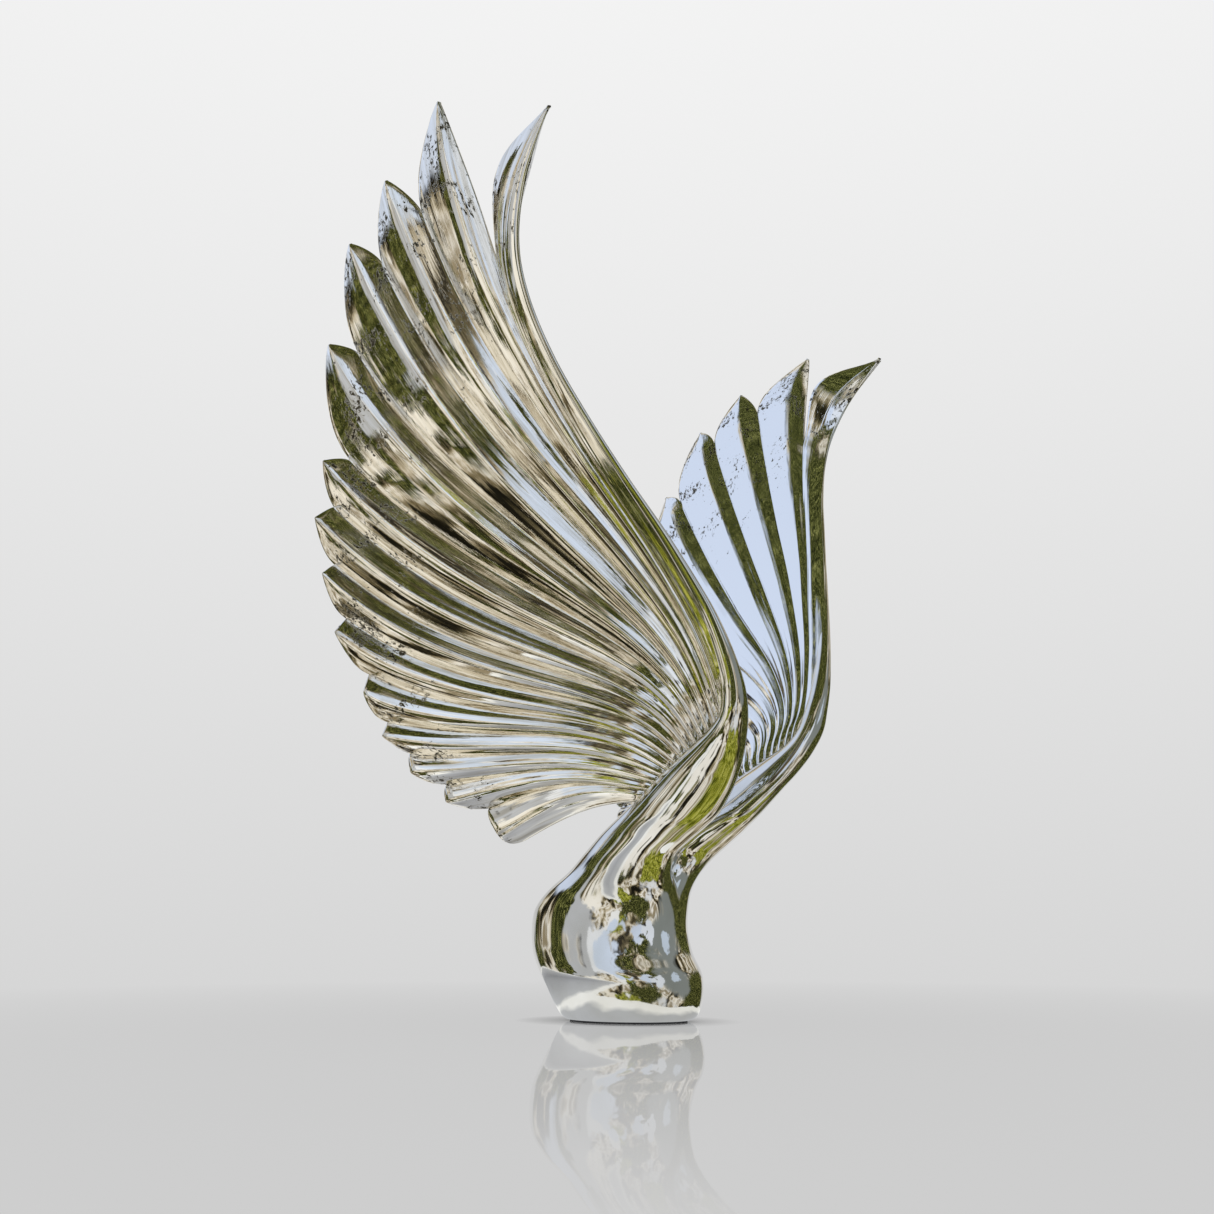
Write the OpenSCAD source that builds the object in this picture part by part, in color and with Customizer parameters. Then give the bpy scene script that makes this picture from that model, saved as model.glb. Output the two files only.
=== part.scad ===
// Winged hood ornament: a bell foot and leaning neck that fork into two arms,
// each arm carrying a fan of fourteen overlapping feather blades.
// Millimetres. +X is the way the ornament faces, +Y its left side, +Z up.
// The origin is the middle of the underside of the mounting pad.

/* [Foot and neck] */
// Thickness of the rubber mounting pad
pad_t = 1.2; // [0.6:0.1:3]
// Wall of the hollow foot
foot_wall = 3.2; // [2:0.1:6]
// Height of the cavity's ceiling inside the foot
cavity_top = 29; // [15:1:32]
// Height of the flat joint where the two arms sit on the neck
joint_z = 44; // [40:1:50]
// Clearance left at every assembly joint
joint_gap = 0.12; // [0.05:0.01:0.4]
// Foot and neck stations from the pad up: height, centre along X, half length, half width, cleft depth
stem_rings = [
    [1.2, 0, 18.4, 15.0, 0], [2.2, 0, 20.2, 16.3, 0], [5, -0.4, 22.0, 17.6, 0],
    [9, -1.4, 23.4, 18.7, 0], [13, -3.0, 24.3, 19.3, 0], [18, -5.6, 24.3, 18.8, 0],
    [24, -6.8, 24.2, 18.0, 0], [30, -6.4, 23.4, 17.5, 0.02], [35, -3.4, 21.8, 17.5, 0.06],
    [40, 2.2, 19.4, 18.0, 0.14], [44, 6.8, 17.9, 18.6, 0.22]
];
// Sides of a foot section
stem_sides = 44; // [24:4:72]
// Rings between the pad and the joint
stem_steps = 22; // [11:1:40]

/* [Mounting hardware] */
// Distance between the two tapped fixing holes
fix_pitch = 18; // [14:1:20]
// Wall radius of each tapped hole, M6
fix_r = 2.5; // [2:0.1:4]
// Outside radius of each tapped boss
boss_r = 4.6; // [4:0.1:6]
// Height of the bosses above the base plate
boss_h = 6; // [3:0.5:10]
// Base plate thickness
plate_t = 3; // [2:0.5:5]
// Base plate end radius
plate_r = 10.6; // [8:0.1:11]
// Distance of each plate end centre from the middle
plate_half = 4; // [2:0.5:6]
// Distance of each plate screw from the middle, across the foot
screw_y = 7; // [5:0.5:8]
// Plate screw shank radius
screw_r = 1.4; // [1:0.1:2]
// Radius of the stud that joins each arm to the neck, M5
stud_r = 2.5; // [1.5:0.1:3]
// Stud position along X
stud_x = 7; // [4:1:14]
// Stud position across, each side
stud_y = 9.6; // [7:0.1:12]

/* [Arms] */
// Arm stations: back edge X and Z, front edge X and Z, back and front distance across, half thickness
arm_rings = [
    [-10.0, 44.12, 24.6, 44.12, 9.6, 9.6, 9.0], [-5.0, 49.0, 28.0, 46.0, 10.4, 9.4, 9.2],
    [5.0, 54.0, 32.0, 49.5, 12.4, 9.0, 9.0], [15.2, 57.9, 35.5, 53.0, 14.6, 9.0, 8.2],
    [22.6, 62.7, 39.2, 57.0, 16.2, 10.0, 7.2], [29.2, 67.0, 43.0, 61.2, 17.4, 11.5, 6.3],
    [36.0, 70.9, 46.6, 65.8, 18.4, 14.0, 5.6], [42.5, 73.8, 49.8, 71.4, 19.4, 17.0, 4.7],
    [46.2, 77.4, 52.3, 78.0, 20.1, 20.1, 4.3]
];
// Sides of an arm section
arm_sides = 28; // [16:4:48]
// Rings along an arm
arm_steps = 18; // [9:1:36]

/* [Wing lateral form] */
// Outward distance of the leading edge at heights 40, 60, 80 ... 240
edge_out = [1.5, 9.5, 21.5, 31, 43, 56.5, 68.5, 78.5, 85.5, 91, 95];
// Forward position of the leading edge at the same heights
edge_fwd = [22, 42, 52, 50, 43, 36.5, 30.8, 28.3, 31, 38, 46];
// Outward drift per millimetre behind the leading edge at the same heights
edge_cup = [0.56, 0.45, 0.37, 0.34, 0.3, 0.24, 0.16, 0.07, 0.03, 0.02, 0.02];

/* [Feather fan] */
// Side view X and Z of each feather's root, top feather first
root = [[48.5, 79.5], [46.5, 77.5], [44.2, 76], [42, 74.5], [39.8, 73], [37.4, 71.5], [35, 70],
        [32.6, 68.5], [30.2, 67], [27.8, 65.5], [25.4, 64], [23, 62.3], [20.5, 60.5], [18, 58.8]];
// Control point that sets how each feather leaves the arm
rise = [[50.5, 118], [50, 115], [47, 112], [43, 108], [39, 104], [35, 100], [30, 96],
        [25, 91], [20, 86], [14, 82], [8, 76], [3, 71], [0, 66], [4, 62]];
// Control point that sets how each feather bends back
bend = [[0.5, 178.5], [6, 163], [4, 142], [0, 125], [-5, 111], [-10, 99], [-15, 90],
        [-19, 83], [-21, 77], [-21, 73], [-17, 69], [-14, 66], [-12, 62], [-8, 56]];
// Side view X and Z of each feather's tip
tip = [[35, 218.5], [12.5, 229.5], [-13, 219.5], [-29.5, 207.5], [-42, 183], [-47, 151], [-52, 136],
       [-53, 121], [-52.5, 105], [-47, 88], [-44, 76], [-39, 66], [-32, 58], [-22, 49]];
// Forward curl of the leading feather's tip
tip_curl = 9; // [0:0.5:16]
// Outward flare of the second feather's tip
tip_flare = 4; // [0:0.5:8]
// Where each feather's trailing edge leaves its neighbour, as a fraction of its length
free_back = [0.75, 0.85, 0.91, 0.88, 0.86, 0.95, 0.94, 0.93, 0.92, 0.92, 0.94, 0.91, 0.89, 0.9];
// Where each feather's leading edge comes free, as a fraction of its length
free_front = [0.8, 0.79, 0.91, 0.94, 0.95, 0.96, 0.985, 0.99, 0.99, 0.99, 0.99, 0.99, 0.99, 0.99];
// Share of the spacing that the upper feather of each pair takes near the notch
share = [0.5, 0.67, 0.7, 0.72, 0.74, 0.62, 0.68, 0.6, 0.55, 0.6, 0.55, 0.55, 0.5];
// Roundness of each tip, 0 for a lance and 1 for a lobe
lobe = [0, 0.1, 0.1, 0.1, 0.1, 0.2, 0.2, 0.3, 0.7, 0.9, 0.9, 1, 1, 1];
// Extra fullness of each free trailing edge
belly = [1.5, 0.3, 0.1, 0.1, 0.1, 0, 0.1, 0.15, 0.15, 0.1, 0, 0, 0, 0];
// Half width of the leading feather ahead of its keel
lead_w = 4.6; // [2:0.1:7]
// Fullness of the last feather's lower edge
tail_w = 3.6; // [1:0.1:8]
// Deepest valley between two keels
valley_max = 3.6; // [1:0.1:6]
// Valley depth per millimetre between keels
valley_k = 0.3; // [0.1:0.01:0.5]
// Edge thickness of a blade at its tip
edge_t = 0.9; // [0.4:0.1:3]
// Extra blade thickness at the root
root_t = 2.6; // [0:0.1:5]
// Clearance between neighbouring blades
blade_gap = 0.26; // [0.1:0.02:0.6]
// Stations along a blade, as fractions of its length
blade_t = [0, 0.05, 0.11, 0.18, 0.27, 0.36, 0.45, 0.54, 0.62, 0.7, 0.75, 0.79, 0.83, 0.87, 0.905, 0.94, 0.965, 0.985, 1];

/* [Hidden] */
$fn = 48;
eps = 0.001;

// Smooth curve through evenly spaced values or points
function mix4(a, b, c, d, f) =
    0.5 * (2 * b + (c - a) * f + (2 * a - 5 * b + 4 * c - d) * f * f + (3 * b - a - 3 * c + d) * f * f * f);
function along(v, u) =
    let (n = len(v) - 1, s = min(max(u, 0), 1) * n, i = min(floor(s), n - 1))
    mix4(v[max(i - 1, 0)], v[i], v[i + 1], v[min(i + 2, n)], s - i);
function unit(v) = v / norm(v);

// Outward distance of the wing at a side view position
function lateral(x, z) =
    let (u = (z - 40) / 200)
    along(edge_out, u) + along(edge_cup, u) * max(0, along(edge_fwd, u) - x);
function outward(p) =
    unit([-(lateral(p[0] + 0.5, p[2]) - lateral(p[0] - 0.5, p[2])), 1,
          -(lateral(p[0], p[2] + 0.5) - lateral(p[0], p[2] - 0.5))]);

// Keel line of feather i
function keel(i, t) =
    let (q = 1 - t,
         b = root[i] * q * q * q + 3 * rise[i] * t * q * q + 3 * bend[i] * t * t * q + tip[i] * t * t * t,
         k = max(0, (t - 0.7) / 0.3),
         x = b[0] + (i == 0 ? tip_curl * k * k : 0))
    [x, lateral(x, b[1]) + (i == 1 ? tip_flare * k : 0), b[1]];
function across(i, t) =
    unit(cross(outward(keel(i, t)), keel(i, min(t + eps, 1)) - keel(i, max(t - eps, 0))));

// Line between feather i and the next one down, at feather i's own fraction t
function valley(i, t) =
    i < 0 ? keel(0, t) + across(0, t) * lead_w * (1 - 0.25 * t) :
    i > 12 ? keel(13, t) - across(13, t) * (1.6 + tail_w * sin(112 * pow(t, 0.8))) :
    let (s = 0.5 + (share[i] - 0.5) * pow(min(t / free_back[i], 1), 1.5),
         a = keel(i, t), b = keel(i + 1, min(t * free_front[i + 1] / free_back[i], 1)),
         v = a * (1 - s) + b * s)
    v - outward(v) * min(valley_max, valley_k * norm(b - a));

// Outline fullness past the notch
function taper(i, s, extra) =
    max(0.07, pow(max(0, 1 - pow(s, 1.6 + 0.6 * lobe[i])), 1 - 0.5 * lobe[i]) * (1 + extra * sin(180 * pow(s, 1.25))));
function back_edge(i, t) =
    let (n = free_back[i], s = max(0, (t - n) / (1 - n)))
    t <= n ? valley(i, t) : keel(i, t) + (valley(i, n) - keel(i, n)) * taper(i, s, belly[i]);
function front_edge(i, t) =
    let (n = free_front[i], c = i == 0 ? 1 : n / free_back[i - 1], s = max(0, (t - n) / (1 - n)))
    t <= n ? valley(i - 1, t / c) : keel(i, t) + (valley(i - 1, n / c) - keel(i, n)) * taper(i, s, 0.15);

// Closed section of a blade at fraction t: five points outside, three inside
function blade_ring(i, t, side) =
    let (k = keel(i, t), n = outward(k), bk = back_edge(i, t), fr = front_edge(i, t),
         b = bk + unit(k - bk) * blade_gap / 2, f = fr + unit(k - fr) * blade_gap / 2,
         h = edge_t + root_t * pow(1 - t, 2) * (i == 0 ? 2 : 1),
         deep = max(0.2, ((k - b) * n + (k - f) * n) / 2),
         pts = [b, (b + k) / 2 + n * deep * 0.12, k, (f + k) / 2 + n * deep * 0.12, f,
                f - n * h, k - n * (deep + h + 0.25 * deep + 0.2), b - n * h])
    [for (p = pts) [p[0], side * p[1], p[2]]];

// Solid skinned over a list of closed rings with the same number of points
module skin(rings, flip) {
    m = len(rings[0]);
    n = len(rings);
    pts = concat([for (r = rings) each r],
        [[for (c = [0:2]) sum_of([for (p = rings[0]) p[c]]) / m],
         [for (c = [0:2]) sum_of([for (p = rings[n - 1]) p[c]]) / m]]);
    wall = [for (j = [0:n - 2]) for (i = [0:m - 1])
        let (a = j * m + i, b = j * m + (i + 1) % m, c = a + m, d = b + m)
        each [[a, b, d], [a, d, c]]];
    low = [for (i = [0:m - 1]) [n * m, (i + 1) % m, i]];
    high = [for (i = [0:m - 1]) [n * m + 1, (n - 1) * m + i, (n - 1) * m + (i + 1) % m]];
    faces = concat(wall, low, high);
    polyhedron(points = pts, faces = flip ? faces : [for (f = faces) [f[0], f[2], f[1]]]);
}
function sum_of(v, i = 0) = i >= len(v) ? 0 : v[i] + sum_of(v, i + 1);

// Oval foot section with a cleft at the front and a shallower one at the back
function stem_ring(s, inset) = [for (i = [0:stem_sides - 1])
    let (a = 360 * i / stem_sides, w = a > 180 ? a - 360 : a,
         k = 1 - s[4] * exp(-pow(w / 20, 2)) - 0.4 * s[4] * exp(-pow((abs(w) - 180) / 24, 2)))
    [s[1] + (s[2] - inset) * cos(a) * k, (s[3] - inset) * sin(a) * k, s[0]]];

// Oval arm section between a back and a front edge point
function arm_ring(s, side) = [for (i = [0:arm_sides - 1])
    let (a = 360 * i / arm_sides, m = [(s[0] + s[2]) / 2, (s[1] + s[3]) / 2],
         e = [(s[2] - s[0]) / 2, (s[3] - s[1]) / 2])
    [m[0] + e[0] * cos(a), side * ((s[4] + s[5]) / 2 + (s[5] - s[4]) / 2 * cos(a) + s[6] * sin(a)), m[1] + e[1] * cos(a)]];

module mounting_pad() color("#2b2b2d") difference() {
    skin([stem_ring([0, 0, 17.2, 14.2, 0], 0), stem_ring([pad_t, 0, 17.2, 14.2, 0], 0)], false);
    for (x = [-1, 1]) translate([x * fix_pitch / 2, 0, -1]) cylinder(r = fix_r + 0.9, h = pad_t + 2);
}

module base_plate() color("#8d9094") difference() {
    union() {
        translate([-plate_half, -plate_r, pad_t + joint_gap]) cube([2 * plate_half, 2 * plate_r, plate_t]);
        for (x = [-1, 1]) translate([x * plate_half, 0, pad_t + joint_gap]) cylinder(r = plate_r, h = plate_t);
        for (x = [-1, 1]) translate([x * fix_pitch / 2, 0, pad_t + joint_gap + 0.5])
            cylinder(r = boss_r, h = plate_t - 0.5 + boss_h);
    }
    for (x = [-1, 1]) translate([x * fix_pitch / 2, 0, 0]) cylinder(r = fix_r, h = 20);
    for (y = [-1, 1]) translate([0, y * screw_y, 0]) {
        cylinder(r = screw_r + 0.2, h = 10);
        cylinder(r = screw_r * 2 + 0.2, h = pad_t + joint_gap + 1.4);
    }
}

module base_plate_screws() color("#a9adb1") for (y = [-1, 1]) translate([0, y * screw_y, 0]) {
    translate([0, 0, pad_t + joint_gap + 0.1]) cylinder(r = screw_r * 2, h = 1.2);
    translate([0, 0, pad_t + joint_gap + 1]) cylinder(r = screw_r, h = 11);
}

module stem_casting() color("#d9dadb") difference() {
    union() {
        difference() {
            skin([for (j = [0:stem_steps]) stem_ring(along(stem_rings, j / stem_steps), 0)], false);
            skin([for (z = [0:6]) stem_ring(concat([z == 0 ? 1.1 : 1.2 + (cavity_top - 1.2) * z / 6],
                let (s = foot_at(1.2 + (cavity_top - 1.2) * z / 6), k = z == 6 ? 0.9 : 1)
                [s[1], s[2] * k, s[3] * k, 0]), foot_wall)], false);
        }
        for (y = [-1, 1]) translate([0, y * screw_y, pad_t + plate_t + 2 * joint_gap])
            cylinder(r = 3.2, h = cavity_top + 2 - pad_t - plate_t);
    }
    for (y = [-1, 1]) translate([0, y * screw_y, 2]) cylinder(r = screw_r + 0.05, h = 13);
    for (y = [-1, 1]) translate([stud_x, y * stud_y, 35.8]) cylinder(r = stud_r + 0.05, h = 12);
}
// Foot station at a given height
function foot_at(z) =
    let (n = len(stem_rings) - 1, i = max([for (j = [0:n - 1]) stem_rings[j][0] <= z ? j : 0]),
         f = (z - stem_rings[i][0]) / (stem_rings[i + 1][0] - stem_rings[i][0]))
    stem_rings[i] * (1 - f) + stem_rings[i + 1] * f;

module arm(side) color("#d9dadb") difference() {
    skin([for (j = [0:arm_steps]) arm_ring(along(arm_rings, j / arm_steps), side)], side < 0);
    translate([stud_x, side * stud_y, joint_z - 5]) cylinder(r = stud_r + 0.05, h = 10.8);
}
module left_arm() arm(1);
module right_arm() arm(-1);

module arm_stud(side) color("#a9adb1") translate([stud_x, side * stud_y, 36]) cylinder(r = stud_r, h = 13.5);
module left_arm_stud() arm_stud(1);
module right_arm_stud() arm_stud(-1);

module feather(n, side) color("#e3e0d9")
    skin([for (t = blade_t) blade_ring(n - 1, t, side)], side > 0);
module left_feather_01() feather(1, 1);
module left_feather_02() feather(2, 1);
module left_feather_03() feather(3, 1);
module left_feather_04() feather(4, 1);
module left_feather_05() feather(5, 1);
module left_feather_06() feather(6, 1);
module left_feather_07() feather(7, 1);
module left_feather_08() feather(8, 1);
module left_feather_09() feather(9, 1);
module left_feather_10() feather(10, 1);
module left_feather_11() feather(11, 1);
module left_feather_12() feather(12, 1);
module left_feather_13() feather(13, 1);
module left_feather_14() feather(14, 1);
module right_feather_01() feather(1, -1);
module right_feather_02() feather(2, -1);
module right_feather_03() feather(3, -1);
module right_feather_04() feather(4, -1);
module right_feather_05() feather(5, -1);
module right_feather_06() feather(6, -1);
module right_feather_07() feather(7, -1);
module right_feather_08() feather(8, -1);
module right_feather_09() feather(9, -1);
module right_feather_10() feather(10, -1);
module right_feather_11() feather(11, -1);
module right_feather_12() feather(12, -1);
module right_feather_13() feather(13, -1);
module right_feather_14() feather(14, -1);

mounting_pad();
base_plate();
base_plate_screws();
stem_casting();
left_arm();
right_arm();
left_arm_stud();
right_arm_stud();
left_feather_01();
left_feather_02();
left_feather_03();
left_feather_04();
left_feather_05();
left_feather_06();
left_feather_07();
left_feather_08();
left_feather_09();
left_feather_10();
left_feather_11();
left_feather_12();
left_feather_13();
left_feather_14();
right_feather_01();
right_feather_02();
right_feather_03();
right_feather_04();
right_feather_05();
right_feather_06();
right_feather_07();
right_feather_08();
right_feather_09();
right_feather_10();
right_feather_11();
right_feather_12();
right_feather_13();
right_feather_14();
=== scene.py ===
"""Winged hood ornament: polished, chrome plated casting with two fans of feather blades."""
import math

import bmesh
import bpy
import numpy as np
from mathutils import Matrix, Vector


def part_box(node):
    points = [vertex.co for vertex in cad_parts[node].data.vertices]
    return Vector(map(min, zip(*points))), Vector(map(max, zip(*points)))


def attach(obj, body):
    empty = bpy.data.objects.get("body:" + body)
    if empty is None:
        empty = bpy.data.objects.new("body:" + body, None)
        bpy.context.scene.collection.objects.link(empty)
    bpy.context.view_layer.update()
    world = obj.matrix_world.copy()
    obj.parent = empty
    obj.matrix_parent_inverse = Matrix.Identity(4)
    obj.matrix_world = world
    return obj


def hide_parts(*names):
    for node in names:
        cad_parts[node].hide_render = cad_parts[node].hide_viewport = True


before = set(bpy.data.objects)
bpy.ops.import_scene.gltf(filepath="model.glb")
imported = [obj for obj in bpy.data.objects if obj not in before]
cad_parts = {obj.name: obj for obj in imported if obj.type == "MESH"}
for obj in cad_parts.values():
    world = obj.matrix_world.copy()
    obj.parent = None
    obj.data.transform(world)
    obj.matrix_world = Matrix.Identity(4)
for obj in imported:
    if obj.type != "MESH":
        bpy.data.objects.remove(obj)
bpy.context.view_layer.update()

bl_info = {
    "name": "Winged Hood Ornament",
    "version": (1, 0, 0),
    "blender": (4, 5, 0),
    "location": "View3D > Sidebar > Ornament",
    "description": "Builds a plated hood ornament with two fans of feather blades",
    "category": "Object",
}

MM = 0.001
BLADES = 14
ACROSS = 23                              # points across one face of a blade
ROOT_START = -.05                        # where a blade starts inside the arm, as a fraction of its length
WELD = 2e-5                              # metres between points that are joined on the middle plane
CAMERA_EYE = (.2241, -.3006, .0213)      # metres
CAMERA_SENSOR = 36                       # millimetres
FLOOR_STEPS = (24, 96)                   # rings, and points on each
FLOOR_RADIUS = 600                       # millimetres, as are the four that follow
FLOOR_DROP = .02
BOX_TOLERANCE = 12                       # furthest that a side of a blade's box may be from its CAD node's
TAIL_ROOT = 1.6                          # width of the lowest blade below its keel, at its root
INNER_RIDGE_BASE = .2                    # least height of the ridge inside a blade

# Side view X and Z of each feather's root, the two points that bend it, and its tip, in millimetres.
ROOT = np.array([(48.5, 79.5), (46.5, 77.5), (44.2, 76), (42, 74.5), (39.8, 73), (37.4, 71.5), (35, 70),
                 (32.6, 68.5), (30.2, 67), (27.8, 65.5), (25.4, 64), (23, 62.3), (20.5, 60.5), (18, 58.8)])
RISE = np.array([(50.5, 118), (50, 115), (47, 112), (43, 108), (39, 104), (35, 100), (30, 96),
                 (25, 91), (20, 86), (14, 82), (8, 76), (3, 71), (0, 66), (4, 62)], dtype=float)
BEND = np.array([(0.5, 178.5), (6, 163), (4, 142), (0, 125), (-5, 111), (-10, 99), (-15, 90),
                 (-19, 83), (-21, 77), (-21, 73), (-17, 69), (-14, 66), (-12, 62), (-8, 56)])
TIP = np.array([(35, 218.5), (12.5, 229.5), (-13, 219.5), (-29.5, 207.5), (-42, 183), (-47, 151), (-52, 136),
                (-53, 121), (-52.5, 105), (-47, 88), (-44, 76), (-39, 66), (-32, 58), (-22, 49)])
# Where each blade's two edges come free of their neighbours, as fractions of its length.
FREE_BACK = np.array([.75, .85, .91, .88, .86, .95, .94, .93, .92, .92, .94, .88, .85, .84])
FREE_FRONT = np.array([.8, .79, .91, .94, .95, .96, .985, .99, .99, .99, .99, .96, .93, .89])
# Share of the spacing that the upper blade takes at the notch, roundness of its end, and fullness of its back edge.
SHARE = np.array([.5, .67, .7, .72, .74, .62, .68, .6, .55, .6, .55, .55, .5])
LOBE = np.array([.25, .55, .5, .5, .45, .35, .3, .4, .7, .9, .9, 1, 1, 1])
BELLY = np.array([2.4, .3, .1, .1, .1, 0, .1, .15, .15, .1, 0, 0, 0, 0])
# Leading edge of the wing at heights 40, 60 ... 240: outward, forward, and drift behind it.
EDGE_OUT = np.array([1.5, 9.5, 21.5, 31, 43, 56.5, 68.5, 78.5, 85.5, 91, 95])
EDGE_FWD = np.array([22, 42, 52, 50, 43, 36.5, 30.8, 28.3, 31, 38, 46])
EDGE_CUP = np.array([.56, .45, .37, .34, .3, .24, .16, .07, .03, .02, .02])
# Body stations: back X and Z, front X and Z, back and front distance across, half thickness.
BODY = np.array([
    (-0.2, 27, 0.2, 27, 0, 0, 0.2), (-14, 26, 8, 26, 0, 0, 11), (-19, 20, 12, 20, 0, 0, 15),
    (-18, 10, 17, 10, 0, 0, 15), (-16, 4, 16, 4, 0, 0, 12.6), (-16.4, .9, 16.4, .9, 0, 0, 13.2),
    (-18.0, .45, 18.2, .45, 0, 0, 14.9), (-20.2, 1.9, 20.4, 1.9, 0, 0, 16.4), (-22.4, 5, 21.6, 5, 0, 0, 17.6),
    (-24.8, 9, 22.0, 9, 0, 0, 18.7), (-27.3, 13, 21.3, 13, 0, 0, 19.3), (-29.9, 18, 18.7, 18, 0, 0, 18.8),
    (-31, 24, 17.4, 24, 0, 0, 18), (-29.4, 30, 17.2, 30, 1.2, 1.2, 16.4), (-23.0, 35, 17.0, 35, 4, 4, 13.8),
    (-13.2, 40, 18.4, 39.6, 7.4, 7.2, 10.8), (-6.0, 45, 21.6, 43.6, 9.6, 9.2, 9.3),
    (1.0, 50, 26.4, 47.0, 11.2, 9.6, 8.8), (9.0, 54.6, 31.2, 50.2, 13, 9.4, 8.6),
    (16.0, 58.6, 35.5, 53.4, 14.8, 9.2, 8.0), (22.6, 62.9, 39.4, 57.2, 16.2, 10.2, 7.1),
    (29.2, 67.1, 43.1, 61.3, 17.4, 11.7, 6.3),
    (36.0, 71.0, 46.7, 65.9, 18.4, 14.2, 5.6), (42.2, 74.6, 49.8, 71.2, 19.4, 17.0, 5.0),
    (45.6, 78.2, 52.4, 77.8, 19.9, 19.9, 4.3), (46.9, 84.0, 53.2, 84.3, 21.9, 21.9, 3.5),
    (47.2, 91.0, 52.8, 91.6, 25.2, 25.2, 2.8), (46.8, 98.5, 51.4, 99.3, 28.9, 28.9, 2.2),
    (45.4, 106.0, 49.4, 106.8, 33.2, 33.2, 1.8), (41.7, 120.0, 44.7, 120.8, 42.2, 42.2, 1.35),
    (36.7, 134.6, 39.2, 135.2, 52.3, 52.3, 1.05), (31.9, 149.4, 34.1, 149.9, 62.0, 62.0, .9),
    (27.9, 163.8, 29.8, 164.2, 70.3, 70.3, .8), (25.7, 178.4, 27.4, 178.6, 77.4, 77.4, .7),
    (26.7, 191.7, 28.3, 191.3, 82.5, 82.5, .62), (32.6, 205.6, 34.0, 205.0, 86.8, 86.8, .5),
    (43.7, 218.2, 44.2, 218.0, 90.4, 90.4, .15)])
# What the plate mirrors: paint, azimuth from +X towards +Y, height above the horizon, reach and softness in
# degrees. Later patches lie over earlier ones.
GARDEN = (
    ("#fbf6ea", 254, -17, 8, 5), ("#efe7d4", 262, -30, 7, 5), ("foliage", 224, -12, 11, 5),
    ("foliage", 244, -30, 9, 4), ("foliage", 262, -50, 12, 5), ("#fbf7ee", 270, -62, 5, 3),
    ("foliage", 270, 78, 38, 5), ("bark", 308, 28, 24, 8), ("foliage", 298, 42, 10, 4),
    ("foliage", 336, 22, 15, 4), ("foliage", 170, -4, 16, 6), ("#f6efe0", 206, -8, 6, 4),
    ("foliage", 317, -9, 15, 4), ("lawn", 287, -20, 6, 3), ("#e4e6e8", 350, -40, 16, 5),
    ("lawn", 350, -66, 18, 4), ("lawn", 30, -62, 16, 5), ("foliage", 64, -8, 34, 6),
    ("#868b88", 10, 20, 31, 6), ("#c9d6e6", 14, 26, 8, 5), ("#c0c2c4", 240, 17, 19, 3),
    ("foliage", 212, 5, 8, 3), ("foliage", 300, -3, 8, 3), ("lawn", 290, 8, 7, 3),
    ("foliage", 304, 30, 8, 4), ("#f1f4f8", 266, 17, 6, 3), ("#f7f7f5", 279, -4, 6, 3),
    ("#e3e9f2", 328, 11, 7, 3), ("#d3dff2", 311, 8, 10, 3), ("#d8e4f6", 282, 24, 10, 3),
    ("#d6e1f5", 190, 38, 24, 4), ("#d6e1f5", 200, 34, 20, 3), ("foliage", 212, 66, 13, 4))
# Behind the ornament the plate mirrors the backdrop turned over: azimuth, height, reach and softness.
BEHIND = (127, 2, 33, 3)


def smooth_along(values, u):
    """Catmull-Rom curve through evenly spaced rows of values, read at u from 0 to 1."""
    n = len(values) - 1
    s = np.clip(u, 0, 1) * n
    i = np.minimum(np.floor(s).astype(int), n - 1)
    f = s - i
    if values.ndim == 2:
        f = f[:, None]
    a, b = values[np.maximum(i - 1, 0)], values[i]
    c, d = values[i + 1], values[np.minimum(i + 2, n)]
    return 0.5 * (2 * b + (c - a) * f + (2 * a - 5 * b + 4 * c - d) * f ** 2 + (3 * b - a - 3 * c + d) * f ** 3)


def lateral(x, z):
    """Outward distance of the wing: the leading edge's at that height, plus a drift for each mm behind it."""
    u = (z - 40) / 200
    return smooth_along(EDGE_OUT, u) + smooth_along(EDGE_CUP, u) * np.maximum(0, smooth_along(EDGE_FWD, u) - x)


def unit(v):
    """Vectors scaled to length one."""
    return v / np.linalg.norm(v, axis=-1, keepdims=True)


def outward(p):
    """Unit normal of the wing surface y = lateral(x, z), pointing away from the body."""
    x, z = p[:, 0], p[:, 2]
    slope_x = lateral(x + .5, z) - lateral(x - .5, z)
    slope_z = lateral(x, z + .5) - lateral(x, z - .5)
    return unit(np.stack([-slope_x, np.ones_like(x), -slope_z], axis=1))


def keel(i, t, wing):
    """Ridge line of blade i: a cubic Bezier curve in side view, laid on the wing surface.

    Over the last 0.3 of the length, the first blade's tip curls forward by a square and the second's flares evenly.
    """
    t = np.asarray(t, dtype=float)
    q = (1 - t)[:, None]
    c = t[:, None]
    b = ROOT[i] * q ** 3 + 3 * RISE[i] * c * q ** 2 + 3 * BEND[i] * c ** 2 * q + TIP[i] * c ** 3
    late = np.maximum(0, (t - .7) / .3)
    x = b[:, 0] + (wing.tip_curl / MM if i == 0 else 0) * late ** 2
    y = lateral(x, b[:, 1]) + (wing.tip_flare / MM if i == 1 else 0) * late
    return np.stack([x, y, b[:, 1]], axis=1)


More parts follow.
